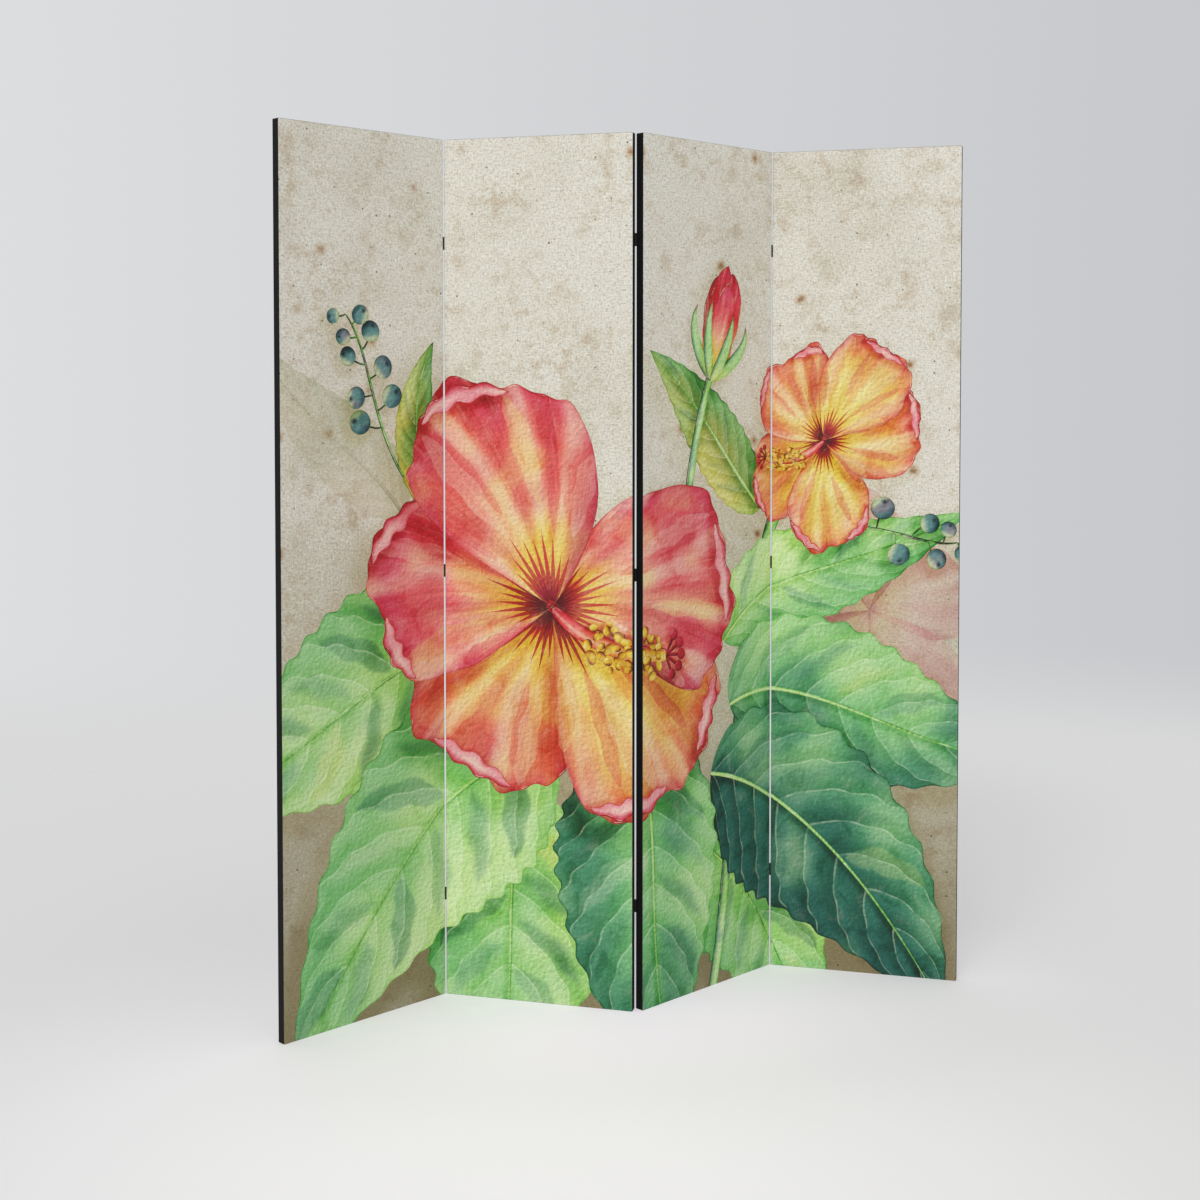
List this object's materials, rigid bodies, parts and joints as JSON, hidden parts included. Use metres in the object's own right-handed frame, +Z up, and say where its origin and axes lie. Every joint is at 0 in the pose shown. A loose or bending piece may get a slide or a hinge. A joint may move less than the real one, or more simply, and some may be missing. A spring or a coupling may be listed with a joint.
{
  "type": "folding screen",
  "caption": "Free-standing folding screen: hinged upright panels with a botanical print on canvas in front, black cloth behind and black taped edges.",
  "frame": {"origin": "on the floor, in the middle of the outline of the half-folded screen", "axes": "+X along the screen from the first panel to the last, +Y from the printed side to the back, +Z up"},
  "size_m": [1.4536, 0.2192, 1.8],
  "materials": {
    "pine": "planed, unfinished",
    "printed_canvas": "matte print on woven canvas",
    "black_cloth": "matte woven",
    "black_tape": "matte, fine ribbed",
    "black_hinge": "satin black",
    "hinge_pin": "blackened",
    "black_screw": "satin black"
  },
  "bodies": {
    "panel_1": {"hinge_12_bottom_left_leaf": "black_hinge", "hinge_12_middle_left_leaf": "black_hinge", "hinge_12_pins": "hinge_pin", "hinge_12_top_left_leaf": "black_hinge", "panel_1_back_cloth": "black_cloth", "panel_1_bottom_rail": "pine", "panel_1_edge_tape": "black_tape", "panel_1_hinge_screws": "black_screw", "panel_1_left_stile": "pine", "panel_1_middle_rail": "pine", "panel_1_print_canvas": "printed_canvas", "panel_1_right_stile": "pine", "panel_1_top_rail": "pine"},
    "panel_2": {"hinge_12_bottom_right_leaf": "black_hinge", "hinge_12_middle_right_leaf": "black_hinge", "hinge_12_top_right_leaf": "black_hinge", "hinge_23_bottom_left_leaf": "black_hinge", "hinge_23_middle_left_leaf": "black_hinge", "hinge_23_pins": "hinge_pin", "hinge_23_top_left_leaf": "black_hinge", "panel_2_back_cloth": "black_cloth", "panel_2_bottom_rail": "pine", "panel_2_edge_tape": "black_tape", "panel_2_hinge_screws": "black_screw", "panel_2_left_stile": "pine", "panel_2_middle_rail": "pine", "panel_2_print_canvas": "printed_canvas", "panel_2_right_stile": "pine", "panel_2_top_rail": "pine"},
    "panel_3": {"hinge_23_bottom_right_leaf": "black_hinge", "hinge_23_middle_right_leaf": "black_hinge", "hinge_23_top_right_leaf": "black_hinge", "hinge_34_bottom_left_leaf": "black_hinge", "hinge_34_middle_left_leaf": "black_hinge", "hinge_34_pins": "hinge_pin", "hinge_34_top_left_leaf": "black_hinge", "panel_3_back_cloth": "black_cloth", "panel_3_bottom_rail": "pine", "panel_3_edge_tape": "black_tape", "panel_3_hinge_screws": "black_screw", "panel_3_left_stile": "pine", "panel_3_middle_rail": "pine", "panel_3_print_canvas": "printed_canvas", "panel_3_right_stile": "pine", "panel_3_top_rail": "pine"},
    "panel_4": {"hinge_34_bottom_right_leaf": "black_hinge", "hinge_34_middle_right_leaf": "black_hinge", "hinge_34_top_right_leaf": "black_hinge", "panel_4_back_cloth": "black_cloth", "panel_4_bottom_rail": "pine", "panel_4_edge_tape": "black_tape", "panel_4_hinge_screws": "black_screw", "panel_4_left_stile": "pine", "panel_4_middle_rail": "pine", "panel_4_print_canvas": "printed_canvas", "panel_4_right_stile": "pine", "panel_4_top_rail": "pine"}
  },
  "joints": [
    {"name": "fold_12", "type": "hinge", "parent": "panel_2", "child": "panel_1", "pos_m": [-0.36417, 0.09312, 0.9], "axis": [0, 0, 1], "range_deg": [-60, 120]},
    {"name": "fold_23", "type": "hinge", "parent": "panel_2", "child": "panel_3", "pos_m": [0, -0.09312, 0.9], "axis": [0, 0, 1], "range_deg": [-60, 120]},
    {"name": "fold_34", "type": "hinge", "parent": "panel_3", "child": "panel_4", "pos_m": [0.36417, 0.09312, 0.9], "axis": [0, 0, -1], "range_deg": [-60, 120]}
  ]
}
